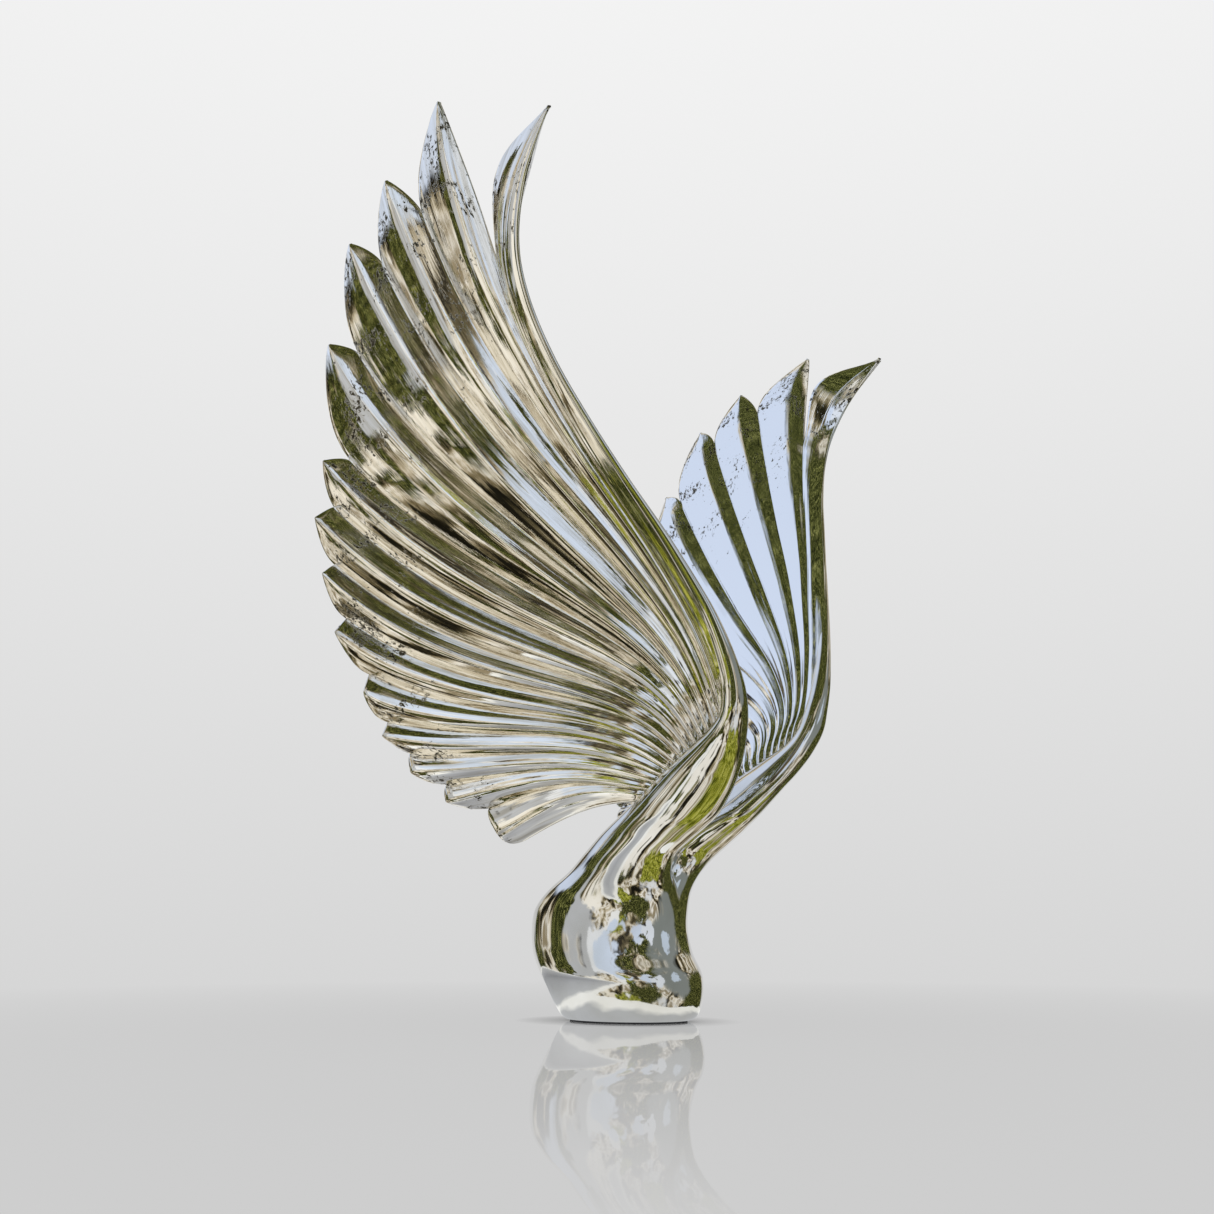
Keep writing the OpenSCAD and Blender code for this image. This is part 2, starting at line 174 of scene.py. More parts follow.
def valley(i, t, wing):
    """Line between blade i and the next, at a share of the way between their keels and sunk below them.

    Ahead of the first blade and below the last it is a free edge, set off sideways from that blade's keel.
    """
    t = np.asarray(t, dtype=float)
    if i < 0 or i > BLADES - 2:
        j = 0 if i < 0 else BLADES - 1
        k = keel(j, t, wing)
        tangent = keel(j, t + .001, wing) - keel(j, t - .001, wing)
        side = unit(np.cross(outward(k), tangent))
        if i < 0:
            return k + side * (wing.lead_half / MM * (1 - .25 * t))[:, None]
        full = TAIL_ROOT + wing.tail_fullness / MM * np.sin(math.radians(112) * np.maximum(t, 0) ** .8)
        return k - side * full[:, None]
    s = (.5 + (SHARE[i] - .5) * np.clip(t / FREE_BACK[i], 0, 1) ** 1.5)[:, None]
    a = keel(i, t, wing)
    b = keel(i + 1, np.minimum(t * FREE_FRONT[i + 1] / FREE_BACK[i], 1), wing)
    v = a * (1 - s) + b * s
    gap = np.linalg.norm(b - a, axis=1)
    return v - outward(v) * np.minimum(wing.valley_depth / MM, .3 * gap)[:, None]


def blade_edge(i, t, wing, back):
    """Edge of blade i: the valley line up to the notch, then a taper that closes on the keel at the tip.

    With s from 0 at the notch to 1 at the tip, the width left is (1 - s^p)^q times a bulge of one sine arch. Rounder
    ends have a higher p and a lower q.
    """
    notch = FREE_BACK[i] if back else FREE_FRONT[i]
    line, pace = (i, 1.0) if back else (i - 1, 1.0 if i == 0 else notch / FREE_BACK[i - 1])
    at_notch = valley(line, np.array([notch / pace]), wing) - keel(i, np.array([notch]), wing)
    s = np.clip((t - notch) / (1 - notch), 0, 1)
    bulge = 1 + (BELLY[i] if back else .15) * np.sin(math.pi * s ** (2.2 if i == 0 else 1.25))
    w = np.maximum(.05, (1 - s ** (1.6 + .6 * LOBE[i])) ** (1 - .5 * LOBE[i]) * bulge)
    free = keel(i, t, wing) + at_notch * w[:, None]
    return np.where((t <= notch)[:, None], valley(line, np.minimum(t, notch) / pace, wing), free)


def mesh_from_grid(name, grids, merge=0.0):
    """Mesh object from (points, closed round, cap ends) grids: quads between rows, an n-gon on each capped end.

    Where merge is given, points nearer than that are joined, open ends are filled and faces turned outwards.
    """
    verts, faces, base = [], [], 0
    for points, closed, caps in grids:
        n, m = points.shape[:2]
        idx = base + np.arange(n * m).reshape(n, m)
        right = np.roll(idx, -1, axis=1) if closed else idx[:, 1:]
        left = idx if closed else idx[:, :-1]
        quads = np.stack([left[:-1], right[:-1], right[1:], left[1:]], axis=-1).reshape(-1, 4)
        faces.extend(quads.tolist())
        if caps[0]:
            faces.append(idx[0, ::-1].tolist())
        if caps[1]:
            faces.append(idx[-1].tolist())
        verts.append(points.reshape(-1, 3))
        base += n * m
    mesh = bpy.data.meshes.new(name)
    mesh.from_pydata(np.concatenate(verts) * MM, [], faces)
    if merge:
        bm = bmesh.new()
        bm.from_mesh(mesh)
        bmesh.ops.remove_doubles(bm, verts=bm.verts, dist=merge)
        bmesh.ops.holes_fill(bm, edges=[edge for edge in bm.edges if edge.is_boundary], sides=0)
        bmesh.ops.recalc_face_normals(bm, faces=bm.faces)
        bm.to_mesh(mesh)
        bm.free()
    mesh.polygons.foreach_set("use_smooth", np.ones(len(mesh.polygons), dtype=bool))
    obj = bpy.data.objects.new(name, mesh)
    bpy.context.scene.collection.objects.link(obj)
    return obj


def blade_points(i, side, wing):
    """Closed section of blade i swept along it, with the attributes that its material reads.

    Across a blade, a runs from -1 at the back edge through 0 at the keel to 1 at the front edge. The outer face drops
    from the keel to each edge along the rounded V of sqrt(a^2 + s^2) - s, scaled to end on the edge. A low crown of
    4 |a| (1 - |a|) and flutes made of three sines are added. The flutes fade towards the tip on the first eight
    blades, and towards both ends on the others. The inner face is a shallower V turned over, and rims that bulge by
    0.3 of their thickness join the two. A rounded end turns in along a quarter ellipse, and the root shrinks towards
    the middle of the section where it enters the arm.
    """
    # The rows lie closer together towards the tip, in three runs that meet at 0.7 and 0.93 of the length.
    t = np.concatenate([np.linspace(ROOT_START, .7, 52)[:-1], np.linspace(.7, .93, 26)[:-1],
                        1 - .07 * (1 - np.linspace(0, 1, 26)) ** 1.6])
    k = keel(i, t, wing)
    n = outward(k)
    back = blade_edge(i, t, wing, True) - k
    front = blade_edge(i, t, wing, False) - k
    ease = np.linspace(-1, 1, ACROSS)
    a = np.sign(ease) * np.abs(ease) ** 1.25
    sharp = wing.keel_round * (1 + 2.5 * LOBE[i])
    g = (np.sqrt(a ** 2 + sharp ** 2) - sharp) / (math.sqrt(1 + sharp ** 2) - sharp)

    def parts(edge):
        drop = np.sum(edge * n, axis=1)
        return edge - n * drop[:, None], drop
    bp, bd = parts(back)
    fp, fd = parts(front)
    deep = np.maximum(.15, -(bd + fd) / 2)
    wide = (np.linalg.norm(bp, axis=1) + np.linalg.norm(fp, axis=1)) / 2
    rim = wing.edge_thickness / MM + wing.root_thickness / MM * (1 - np.clip(t, 0, 1)) ** 2
    inner_ridge = wing.inner_ridge * wide + INNER_RIDGE_BASE
    plane = np.where(a[None, :, None] < 0, bp[:, None], fp[:, None]) * np.abs(a)[None, :, None]
    drop = np.where(a[None, :] < 0, bd[:, None], fd[:, None])
    crown = wing.facet_crown * wide[:, None] * (4 * np.abs(a) * (1 - np.abs(a)))[None]
    length = np.linspace(0, 1, len(t))[:, None]
    phase = np.array([.37 * i, .61 * i + .2, .83 * i + .5])
    ripple = (np.sin(2 * math.pi * (1.15 * a[None] + phase[0] + .30 * np.sin(2 * math.pi * (length + phase[1]))))
              + .5 * np.sin(2 * math.pi * (2.6 * a[None] + phase[2] + .45 * length))
              + .6 * np.sin(2 * math.pi * (.5 * a[None] + 1.7 * length + phase[1])) * np.abs(a[None]))
    calm = np.clip(1.15 - length, .12, 1) if i < 8 else 1 - .6 * np.abs(length - .5) * 2
    crown = crown + wing.flute * wide[:, None] * ripple * (1 - np.abs(a[None]) ** 6) * calm
    outer = k[:, None] + plane + n[:, None] * (drop * g[None] + crown)[..., None]
    low = -(deep + rim + inner_ridge)[:, None] * (1 - g[None]) + (drop - rim[:, None]) * g[None]
    inner = k[:, None] + plane + n[:, None] * (low - .5 * crown)[..., None]
    end = np.clip((t - 1 + wing.end_roll) / wing.end_roll, 0, 1)
    roll = LOBE[i] * np.median(wide) * .5 * (1 - np.sqrt(1 - .98 * end ** 2))
    turn = np.array([.25, .5, .75])

    def rim_points(edge_top, flat):
        out = flat / np.maximum(np.linalg.norm(flat, axis=1, keepdims=True), 1e-6)
        return (edge_top[:, None] - n[:, None] * (rim[:, None] * turn[None])[..., None]
                + out[:, None] * (.3 * rim[:, None] * np.sin(math.pi * turn)[None])[..., None])
    ring = np.concatenate([outer, rim_points(outer[:, -1], fp), inner[:, ::-1],
                           rim_points(outer[:, 0], bp)[:, ::-1]], axis=1)
    ring = ring - n[:, None] * roll[:, None, None]
    reach = np.clip((t - ROOT_START) / (.13 if i == 0 else .07), 0, 1)
    neck = wing.root_neck + (1 - wing.root_neck) * reach * (2 - reach)
    heart = k - n * (.5 * rim)[:, None]
    ring = heart[:, None] + (ring - heart[:, None]) * neck[:, None, None]
    across = np.concatenate([a, np.full(3, a[-1]), a[::-1], np.full(3, a[0])])
    inside = np.concatenate([np.zeros(len(a) + 1), np.full(len(a) + 4, 1.0), [.0]])
    run = np.concatenate([[0], np.cumsum(np.linalg.norm(np.diff(k, axis=0), axis=1))])
    marks = {"grain": np.stack([across[None] * wide[:, None], np.repeat(run[:, None], ring.shape[1], axis=1),
                                np.full(ring.shape[:2], 20.0 * i)], axis=2),
             "tip": np.repeat(np.clip(t, 0, 1)[:, None], ring.shape[1], axis=1),
             "inside": np.repeat(inside[None], len(t), axis=0)}
    # The points run round the section so that the faces point outwards on either side of the body.
    ring = ring * np.array([1, side, 1])
    if side < 0:
        return ring, marks
    return ring[:, ::-1], {name: mark[:, ::-1] for name, mark in marks.items()}


def body_points(body):
    """Half of the foot, neck and arm, for y >= 0, as ovals set between a back and a front point.

    Each oval is a turn from -a0 to 180 + a0, where sin a0 is the distance across over the half thickness, so the
    half starts as half an oval on the middle plane and closes into a whole oval where the arms part.
    """
    rows = smooth_along(BODY, np.linspace(0, 1, body.rings))
    ym, yd = (rows[:, 4] + rows[:, 5]) / 2, (rows[:, 5] - rows[:, 4]) / 2
    thick = rows[:, 6]
    a0 = -np.arcsin(np.clip((ym - .02) / thick, 0, 1))
    s = np.linspace(0, 1, body.sides + 1)
    a = a0[:, None] + s[None] * (math.pi - 2 * a0[:, None])
    mid = (rows[:, [0, 1]] + rows[:, [2, 3]]) / 2
    half = (rows[:, [2, 3]] - rows[:, [0, 1]]) / 2
    x = mid[:, :1] + half[:, :1] * np.cos(a)
    z = mid[:, 1:] + half[:, 1:] * np.cos(a)
    y = ym[:, None] + yd[:, None] * np.cos(a) + thick[:, None] * np.sin(a)
    parted = (ym >= thick)[:, None]
    y = np.where(parted, y, np.maximum(y, 0))
    edge = np.zeros_like(y, dtype=bool)
    edge[:, [0, -1]] = True
    y = np.where(edge & ~parted, 0, y)
    return np.stack([x, y, z], axis=2)


def srgb(text):
    """Linear RGBA from an sRGB hex colour."""
    c = np.array([int(text[i:i + 2], 16) / 255 for i in (1, 3, 5)])
    lin = np.where(c <= .04045, c / 12.92, ((c + .055) / 1.055) ** 2.4)
    return (*lin.tolist(), 1.0)


def add(tree, kind, inputs=None, links=None, **settings):
    """Adds a node, sets its properties and sockets, and links its inputs."""
    node = tree.nodes.new(kind)
    for key, value in settings.items():
        setattr(node, key, value)
    for key, value in (inputs or {}).items():
        node.inputs[key].default_value = value
    for key, source in (links or {}).items():
        tree.links.new(source, node.inputs[key])
    return node


def ramp(tree, source, stops):
    """Colour ramp through (position, sRGB hex) stops."""
    node = add(tree, "ShaderNodeValToRGB", links={"Fac": source})
    while len(node.color_ramp.elements) < len(stops):
        node.color_ramp.elements.new(.5)
    for element, (place, colour) in zip(node.color_ramp.elements, stops):
        element.position = place
        element.color = srgb(colour)
    return node


def new_material(name):
    """Empty node material with its Principled shader wired to the output."""
    material = bpy.data.materials.new(name)
    material.use_nodes = True
    tree = material.node_tree
    tree.nodes.clear()
    shader = add(tree, "ShaderNodeBsdfPrincipled")
    add(tree, "ShaderNodeOutputMaterial", links={"Surface": shader.outputs[0]})
    return material, tree, shader


def chrome_plated_casting():
    """Bright chrome plate on a hand polished zinc casting: a cool mirror with a slow ripple and faint haze."""
    material, tree, shader = new_material("chrome_plated_casting")
    shader.inputs["Metallic"].default_value = 1.0
    place = add(tree, "ShaderNodeTexCoord").outputs["Object"]
    # Haze left by the buffing wheel comes in patches about 12 mm across, broken up down to about 1.5 mm.
    haze = add(tree, "ShaderNodeTexNoise", {"Scale": 85.0, "Detail": 3.0}, {"Vector": place})
    rough = add(tree, "ShaderNodeMapRange", {"From Min": .35, "From Max": .7, "To Min": .025, "To Max": .09},
                {"Value": haze.outputs["Fac"]})
    tone = ramp(tree, haze.outputs["Fac"], [(.35, "#e9e9e8"), (.7, "#d9d8d3")])
    # The plate follows shallow waves of the casting, about 10 mm long and a few hundredths of a millimetre high.
    wave = add(tree, "ShaderNodeTexNoise", {"Scale": 95.0, "Detail": 1.0}, {"Vector": place})
    bump = add(tree, "ShaderNodeBump", {"Strength": .6, "Distance": .00012}, {"Height": wave.outputs["Fac"]})
    for socket, source in (("Base Color", tone.outputs[0]), ("Roughness", rough.outputs[0]),
                           ("Normal", bump.outputs[0])):
        tree.links.new(source, shader.inputs[socket])
    return material


def chrome_plated_feather():
    """Chrome over nickel on ribbed zinc blades.

    The outside is tinted warm in streaks along each blade and the inside cool: painted reflection of the warm ground
    and the pale sky that the two sides face. Small dark pits have broken through near the tips.
    """
    material, tree, shader = new_material("chrome_over_nickel_feather")
    shader.inputs["Metallic"].default_value = 1.0
    grain = add(tree, "ShaderNodeAttribute", attribute_name="grain").outputs["Vector"]
    tip = add(tree, "ShaderNodeAttribute", attribute_name="tip").outputs["Fac"]
    inside = add(tree, "ShaderNodeAttribute", attribute_name="inside").outputs["Fac"]
    # The grain attribute is in millimetres. Streaks are about 1.3 mm wide and 29 mm long.
    streaks = add(tree, "ShaderNodeMapping", {"Scale": (.75, .035, 1)}, {"Vector": grain})
    streak = add(tree, "ShaderNodeTexNoise", {"Scale": 1.0, "Detail": 4.0, "Roughness": .6},
                 {"Vector": streaks.outputs[0]}).outputs["Fac"]
    # Painted reflection: the outside is tinted warm in streaks, like the ground that it faces, and the inside cool,
    # like the pale sky.
    outside_painted_reflection = ramp(tree, streak, [(.34, "#d3cdc0"), (.5, "#f0ede6"), (.64, "#faf9f6")])
    side_painted_reflection = add(tree, "ShaderNodeMix", {7: srgb("#f3f5f7")}, {0: inside, 6: outside_painted_reflection.outputs[0]}, data_type="RGBA")
    # Pits are up to about 1 mm across and gather in patches about 10 mm wide on the outer third of a blade.
    blot = add(tree, "ShaderNodeMapping", {"Scale": (.95, .55, 1)}, {"Vector": grain})
    blot = add(tree, "ShaderNodeTexNoise", {"Scale": 1.0, "Detail": 5.0, "Roughness": .72},
               {"Vector": blot.outputs[0]}).outputs["Fac"]
    group = add(tree, "ShaderNodeMapping", {"Scale": (.11, .09, 1)}, {"Vector": grain})
    group = add(tree, "ShaderNodeTexNoise", {"Scale": 1.0, "Detail": 2.0},
                {"Vector": group.outputs[0]}).outputs["Fac"]
    near = add(tree, "ShaderNodeMapRange", {"From Min": .62, "From Max": .86, "To Max": .16}, {"Value": tip})
    spread = add(tree, "ShaderNodeMapRange", {"From Min": .42, "From Max": .62, "To Min": -.12, "To Max": .05},
                 {"Value": group})
    level = add(tree, "ShaderNodeMath", links={0: blot, 1: near.outputs[0]}, operation="ADD")
    level = add(tree, "ShaderNodeMath", links={0: level.outputs[0], 1: spread.outputs[0]}, operation="ADD")
    pit = add(tree, "ShaderNodeMapRange", {"From Min": .72, "From Max": .76}, {"Value": level.outputs[0]}).outputs[0]
    colour = add(tree, "ShaderNodeMix", {7: srgb("#4a4436")}, {0: pit, 6: side_painted_reflection.outputs[2]}, data_type="RGBA")
    rough = add(tree, "ShaderNodeMapRange", {"To Min": .035, "To Max": .42}, {"Value": pit})
    depth = add(tree, "ShaderNodeMath", {1: -.35}, {0: pit}, operation="MULTIPLY")
    height = add(tree, "ShaderNodeMath", links={0: streak, 1: depth.outputs[0]}, operation="ADD")
    bump = add(tree, "ShaderNodeBump", {"Strength": .5, "Distance": .00009}, {"Height": height.outputs[0]})
    for socket, source in (("Base Color", colour.outputs[2]), ("Roughness", rough.outputs[0]),
                           ("Normal", bump.outputs[0])):
        tree.links.new(source, shader.inputs[socket])
    return material


def zinc_plated_steel():
    """Turned steel with a bright zinc plate: grey with cloudy passivation and a faint spangle."""
    material, tree, shader = new_material("zinc_plated_steel")
    place = add(tree, "ShaderNodeTexCoord").outputs["Object"]
    # The passivation clouds are about 4.5 mm across and the spangle's grains about 1.1 mm.
    cloud = add(tree, "ShaderNodeTexNoise", {"Scale": 220.0, "Detail": 3.0}, {"Vector": place})
    spangle = add(tree, "ShaderNodeTexVoronoi", {"Scale": 900.0}, {"Vector": place})
    tint = ramp(tree, cloud.outputs["Fac"], [(.3, "#969b9f"), (.5, "#a8acae"), (.7, "#b6b5ac")])
    dull = add(tree, "ShaderNodeMapRange", {"To Min": .26, "To Max": .46}, {"Value": cloud.outputs["Fac"]})
    bump = add(tree, "ShaderNodeBump", {"Strength": .12, "Distance": .00005},
               {"Height": spangle.outputs["Distance"]})
    shader.inputs["Metallic"].default_value = 1.0
    for source, key in ((tint, "Base Color"), (dull, "Roughness"), (bump, "Normal")):
        tree.links.new(source.outputs[0], shader.inputs[key])
    return material


def moulded_rubber():
    """Moulded EPDM rubber: near black with a grey bloom and the fine grain of its mould."""
    material, tree, shader = new_material("moulded_rubber")
    place = add(tree, "ShaderNodeTexCoord").outputs["Object"]
    # The bloom comes in patches about 6 mm across, and the mould's grain is 0.4 mm.
    bloom = add(tree, "ShaderNodeTexNoise", {"Scale": 160.0, "Detail": 4.0}, {"Vector": place})
    grain = add(tree, "ShaderNodeTexNoise", {"Scale": 2500.0, "Detail": 1.0}, {"Vector": place})
    tint = ramp(tree, bloom.outputs["Fac"], [(.35, "#1e1e21"), (.65, "#37373a")])
    dull = add(tree, "ShaderNodeMapRange", {"To Min": .6, "To Max": .82}, {"Value": bloom.outputs["Fac"]})
    bump = add(tree, "ShaderNodeBump", {"Strength": .3, "Distance": .0001}, {"Height": grain.outputs["Fac"]})
    for source, key in ((tint, "Base Color"), (dull, "Roughness"), (bump, "Normal")):
        tree.links.new(source.outputs[0], shader.inputs[key])
    return material


def toward(azimuth, height):
    """Unit direction from an azimuth, counted from +X towards +Y, and a height above the horizon, in degrees."""
    a, h = math.radians(azimuth), math.radians(height)
    return (math.cos(a) * math.cos(h), math.sin(a) * math.cos(h), math.sin(h))


def surroundings(scene):
    """Soft garden light for the plate to mirror, and a plain pale backdrop for the camera.

    The mirrored colours are painted by direction: mottled sunlit ground with foliage, bark, lawn and openings of
    sky over it. Each patch is a disc about its direction: its share rises smoothly from 0 to 1 as the dot product of
    the ray with that direction goes from the cosine of reach + soft to the cosine of reach - soft. The ray is first
    bent by two noises, whose mean is taken off again.
    """
    # A noise of scale 1 has swings about 57 degrees long on the painted sphere, so scale 2.6 gives 22 degrees, 19
    # gives 3, 4.2 (ground and bark) gives 14, 40 (leaves) gives 1.4, and 26 (grass) gives 2.2.
    world = bpy.data.worlds.new("garden_and_backdrop")
    scene.world = world
    world.use_nodes = True
    tree = world.node_tree
    tree.nodes.clear()
    ray = add(tree, "ShaderNodeTexCoord").outputs["Generated"]
    wide = add(tree, "ShaderNodeTexNoise", {"Scale": 2.6, "Detail": 2.0}, {"Vector": ray})
    fringe = add(tree, "ShaderNodeTexNoise", {"Scale": 19.0, "Detail": 3.0}, {"Vector": ray})
    wide_share, fringe_share = .30, .05
    wide = add(tree, "ShaderNodeVectorMath", {1: (wide_share,) * 3}, {0: wide.outputs["Color"]},
               operation="MULTIPLY")
    fringe = add(tree, "ShaderNodeVectorMath", {1: (fringe_share,) * 3}, {0: fringe.outputs["Color"]},
                 operation="MULTIPLY")
    both = add(tree, "ShaderNodeVectorMath", links={0: wide.outputs[0], 1: fringe.outputs[0]}, operation="ADD")
    centred = add(tree, "ShaderNodeVectorMath", {1: ((wide_share + fringe_share) / 2,) * 3}, {0: both.outputs[0]},
                  operation="SUBTRACT")
    bent = add(tree, "ShaderNodeVectorMath", links={0: centred.outputs[0], 1: ray}, operation="ADD").outputs[0]
    patch = add(tree, "ShaderNodeTexNoise", {"Scale": 4.2, "Detail": 3.0, "Roughness": .5, "Distortion": .6},
                {"Vector": ray}).outputs["Fac"]
    leaf = add(tree, "ShaderNodeTexNoise", {"Scale": 40.0, "Detail": 9.0, "Roughness": .85}, {"Vector": ray})
    ground = ramp(tree, patch, [(.39, "#1b1912"), (.44, "#4b4430"), (.48, "#8a7d5f"), (.515, "#d2c6ac"),
                                (.56, "#fdf9f0"), (.63, "#9a8d72")])
    foliage = ramp(tree, leaf.outputs["Fac"], [(.43, "#10140a"), (.5, "#2f3319"), (.55, "#5c602c"),
                                               (.60, "#c9c77c")])
    bark = ramp(tree, patch, [(.40, "#37332a"), (.46, "#6d644c"), (.51, "#ada086"), (.57, "#efe8d8"),
                              (.64, "#8d8166")])
    grass = add(tree, "ShaderNodeTexNoise", {"Scale": 26.0, "Detail": 8.0, "Roughness": .8}, {"Vector": ray})
    lawn = ramp(tree, grass.outputs["Fac"], [(.43, "#2b2f10"), (.48, "#737823"), (.53, "#a5a832"),
                                             (.60, "#d6d27a")])

    def blend(base, paint, azimuth, height, reach, soft):
        """Lays one patch over the colours so far."""
        near = add(tree, "ShaderNodeVectorMath", {1: toward(azimuth, height)}, {0: bent}, operation="DOT_PRODUCT")
        share = add(tree, "ShaderNodeMapRange", {"From Min": math.cos(math.radians(reach + soft)),
                                                 "From Max": math.cos(math.radians(max(reach - soft, 0)))},
                    {"Value": near.outputs["Value"]}, interpolation_type="SMOOTHSTEP")
        mix = add(tree, "ShaderNodeMix", links={0: share.outputs[0], 6: base}, data_type="RGBA")
        if isinstance(paint, str):
            mix.inputs[7].default_value = srgb(paint)
        else:
            tree.links.new(paint, mix.inputs[7])
        return mix.outputs[2]

    paints = {"foliage": foliage.outputs[0], "bark": bark.outputs[0], "lawn": lawn.outputs[0]}
    colour = ground.outputs[0]
    for paint, *place in GARDEN:
        colour = blend(colour, paints.get(paint, paint), *place)
    height = add(tree, "ShaderNodeSeparateXYZ", links={"Vector": ray}).outputs["Z"]
    below = add(tree, "ShaderNodeMath", {1: -1.0}, {0: height}, operation="MULTIPLY")

    def pale(level):
        """Grey of the backdrop, which brightens as the ray's height goes from -0.22 to 0.64."""
        rise = add(tree, "ShaderNodeMapRange", {"From Min": -.22, "From Max": .64}, {"Value": level})
        return ramp(tree, rise.outputs[0], [(0, "#cdcdcd"), (1, "#f3f3f3")]).outputs[0]
    colour = blend(colour, pale(below.outputs[0]), *BEHIND)
    mirrored = add(tree, "ShaderNodeBackground", links={"Color": colour})
    backdrop = add(tree, "ShaderNodeBackground", links={"Color": pale(height)})
    seen = add(tree, "ShaderNodeLightPath").outputs["Is Camera Ray"]
    pick = add(tree, "ShaderNodeMixShader", links={0: seen, 1: mirrored.outputs[0], 2: backdrop.outputs[0]})
    add(tree, "ShaderNodeOutputWorld", links={"Surface": pick.outputs[0]})


def floor():
    """Polished pale floor: a flat disc of rings whose mirror image and contact shade fade out from the foot.

    The camera sees through it to the backdrop, apart from the mirror image, which is seen at low angles only, and the
    shade under the foot. The plate sees a slab of painted light there, grey with a white border like paving: the part
    of the disc where max(min(x + 0.6 y + 26 mm, r - 31 mm), r - 104 mm) plus a noise is not above 0. The rest is
    open to the sky.
    """
    turn = np.linspace(0, 2 * math.pi, FLOOR_STEPS[1] + 1)[:-1]
    rings = np.linspace(.5, FLOOR_RADIUS, FLOOR_STEPS[0])
    points = np.stack([np.outer(rings, np.cos(turn)), np.outer(rings, np.sin(turn)),
                       np.full(FLOOR_STEPS, -FLOOR_DROP)], axis=2)
    disc = mesh_from_grid("floor", [(points, True, (True, False))])
    material = bpy.data.materials.new("polished_pale_floor")
    material.use_nodes = True
    tree = material.node_tree
    tree.nodes.clear()
    place = add(tree, "ShaderNodeTexCoord").outputs["Object"]
    far = add(tree, "ShaderNodeVectorMath", links={0: place}, operation="LENGTH").outputs["Value"]
    # Half the light is mirrored up to 50 mm from the middle, and none beyond 380 mm.
    share = add(tree, "ShaderNodeMapRange", {"From Min": .05, "From Max": .38, "To Min": .5, "To Max": .0},
                {"Value": far})
    graze = add(tree, "ShaderNodeLayerWeight", {"Blend": .5}).outputs["Facing"]
    graze = add(tree, "ShaderNodeMapRange", {"From Min": .77, "From Max": .90}, {"Value": graze},
                interpolation_type="SMOOTHSTEP")
    share = add(tree, "ShaderNodeMath", links={0: share.outputs[0], 1: graze.outputs[0]}, operation="MULTIPLY")
    # The shade comes from things within 12 mm, and fades out from 30 to 70 mm.
    shade = add(tree, "ShaderNodeAmbientOcclusion", {"Distance": .012}, samples=8)
    shaded = add(tree, "ShaderNodeMapRange", {"From Min": .03, "From Max": .07}, {"Value": far})
    shade = add(tree, "ShaderNodeMix", {7: (1, 1, 1, 1)}, {0: shaded.outputs[0], 6: shade.outputs["Color"]},
                data_type="RGBA")
    clear = add(tree, "ShaderNodeBsdfTransparent", links={"Color": shade.outputs[2]})
    gloss = add(tree, "ShaderNodeBsdfGlossy", {"Roughness": .0})
    plain = add(tree, "ShaderNodeMixShader", links={0: share.outputs[0], 1: clear.outputs[0], 2: gloss.outputs[0]})
    split = add(tree, "ShaderNodeSeparateXYZ", links={"Vector": place})
    # The slab's edge wanders by up to 10 mm in swings about 22 mm long, and its outer 6 mm are white.
    rough = add(tree, "ShaderNodeTexNoise", {"Scale": 45.0, "Detail": 3.0}, {"Vector": place})
    rough = add(tree, "ShaderNodeMath", {1: .02, 2: -.01}, {0: rough.outputs["Fac"]}, operation="MULTIPLY_ADD")
    slant = add(tree, "ShaderNodeMath", {1: .6, 2: .026}, {0: split.outputs["Y"]}, operation="MULTIPLY_ADD")
    ahead = add(tree, "ShaderNodeMath", links={0: split.outputs["X"], 1: slant.outputs[0]}, operation="ADD")
    past = add(tree, "ShaderNodeMath", {1: .031}, {0: far}, operation="SUBTRACT")
    front = add(tree, "ShaderNodeMath", links={0: ahead.outputs[0], 1: past.outputs[0]}, operation="MINIMUM")
    rim = add(tree, "ShaderNodeMath", {1: .104}, {0: far}, operation="SUBTRACT")
    out = add(tree, "ShaderNodeMath", links={0: front.outputs[0], 1: rim.outputs[0]}, operation="MAXIMUM")
    out = add(tree, "ShaderNodeMath", links={0: out.outputs[0], 1: rough.outputs[0]}, operation="ADD")
    span = add(tree, "ShaderNodeMapRange", {"From Min": -.06, "From Max": .0}, {"Value": out.outputs[0]})
    slab_light = ramp(tree, span.outputs[0], [(0, "#85878c"), (.55, "#aeb0b4"), (.84, "#c2c4c6"), (.90, "#fcfcf8")])
    edge = add(tree, "ShaderNodeMath", {1: .0}, {0: out.outputs[0]}, operation="GREATER_THAN")
    # The slab glows: painted light, seen only by rays that do not come from the camera.
    glow = add(tree, "ShaderNodeEmission", links={"Color": slab_light.outputs[0]})
    open_sky = add(tree, "ShaderNodeBsdfTransparent")
    mirrored = add(tree, "ShaderNodeMixShader",
                   links={0: edge.outputs[0], 1: glow.outputs[0], 2: open_sky.outputs[0]})
    seen = add(tree, "ShaderNodeLightPath").outputs["Is Camera Ray"]
    both = add(tree, "ShaderNodeMixShader", links={0: seen, 1: mirrored.outputs[0], 2: plain.outputs[0]})
    add(tree, "ShaderNodeOutputMaterial", links={"Surface": both.outputs[0]})
    disc.data.materials.append(material)


def finish_piece(obj, slot, material, *nodes):
    """Gives a piece its material, has it ride on the body, hides the CAD nodes it stands for; slot is not used."""
    obj.data.materials.append(material)
    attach(obj, "root")
    if nodes:
        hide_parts(*nodes)


